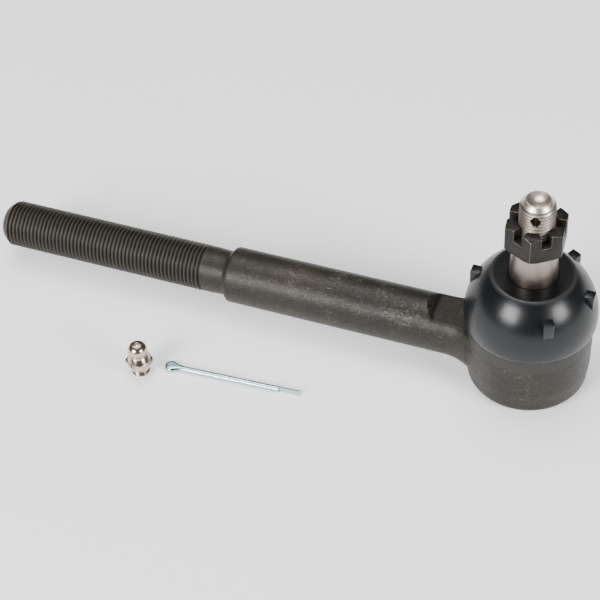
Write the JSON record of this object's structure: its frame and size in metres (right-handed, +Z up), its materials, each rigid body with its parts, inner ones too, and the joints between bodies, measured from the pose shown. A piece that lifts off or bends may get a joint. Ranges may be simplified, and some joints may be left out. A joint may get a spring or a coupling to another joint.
{
  "type": "tie rod end",
  "caption": "Outer tie rod end: forged housing with threaded shank, booted tapered ball stud and slotted nut, with its loose locking pin and grease fitting.",
  "frame": {"origin": "centre of the grease port at its mouth, which is level with the base of the head, on the head axis", "axes": "+Z up the head axis and the stud at rest, -X out along the threaded shank, +Y across"},
  "size_m": [0.2091, 0.0663, 0.0757],
  "materials": {
    "forged_steel": "forged steel, dark grey-brown scale with fine scratches",
    "plated_steel": "zinc plated pressed steel",
    "spring_steel": "oiled spring steel",
    "sintered_metal": "oil-filled sintered metal",
    "hardened_steel": "ground hardened steel",
    "stud_steel": "satin ground steel with bright rolled thread",
    "black_oxide": "dark brown-black oxide",
    "boot_rubber": "smooth black moulded rubber with a soft gloss",
    "zinc_wire": "bright zinc plated wire",
    "nickel_plate": "bright warm nickel plate",
    "ball_steel": "polished ball",
    "spring_wire": "spring wire"
  },
  "bodies": {
    "head": {"forged_body": "forged_steel", "cover_plate": "plated_steel", "preload_spring": "spring_steel"},
    "race": {"upper_race": "sintered_metal", "dust_boot": "boot_rubber"},
    "half_ball": {"half_ball_bearing": "hardened_steel"},
    "stud": {"ball_stud": "stud_steel"},
    "nut": {"castle_nut": "black_oxide"},
    "lower_seat": {"pressure_seat": "sintered_metal"},
    "locking_pin": {"cotter_pin": "zinc_wire"},
    "fitting": {"grease_fitting": "nickel_plate", "check_spring": "spring_wire"},
    "fitting_ball": {"check_ball": "ball_steel"}
  },
  "joints": [
    {"name": "race_turn", "type": "hinge", "parent": "head", "child": "race", "pos_m": [0, 0, 0.0145], "axis": [0, 0, 1], "continuous": true},
    {"name": "stud_swing", "type": "hinge", "parent": "race", "child": "half_ball", "pos_m": [0, 0, 0.0145], "axis": [0, 1, 0], "range_deg": [-20, 20], "deforming": ["dust_boot"]},
    {"name": "stud_spin", "type": "hinge", "parent": "half_ball", "child": "stud", "pos_m": [0, 0, 0.0145], "axis": [0, 0, 1], "continuous": true},
    {"name": "nut_turn", "type": "hinge", "parent": "stud", "child": "nut", "pos_m": [0, 0, 0.06], "axis": [0, 0, 1], "continuous": true},
    {"name": "seat_travel", "type": "slide", "parent": "head", "child": "lower_seat", "axis": [0, 0, 1], "range_m": [-0.0004, 0], "stiffness_N_per_m": 20000, "springref_m": 0.001, "deforming": ["preload_spring"]},
    {"name": "pin_lift", "type": "slide", "parent": "head", "child": "locking_pin", "axis": [0, 0, 1], "range_m": [0, 0.05]},
    {"name": "fitting_lift", "type": "slide", "parent": "head", "child": "fitting", "axis": [0, 0, 1], "range_m": [0, 0.05]},
    {"name": "check_ball_travel", "type": "slide", "parent": "fitting", "child": "fitting_ball", "axis": [0, 0, 1], "range_m": [-0.001, 0], "stiffness_N_per_m": 300, "springref_m": 0.001, "deforming": ["check_spring"]}
  ]
}
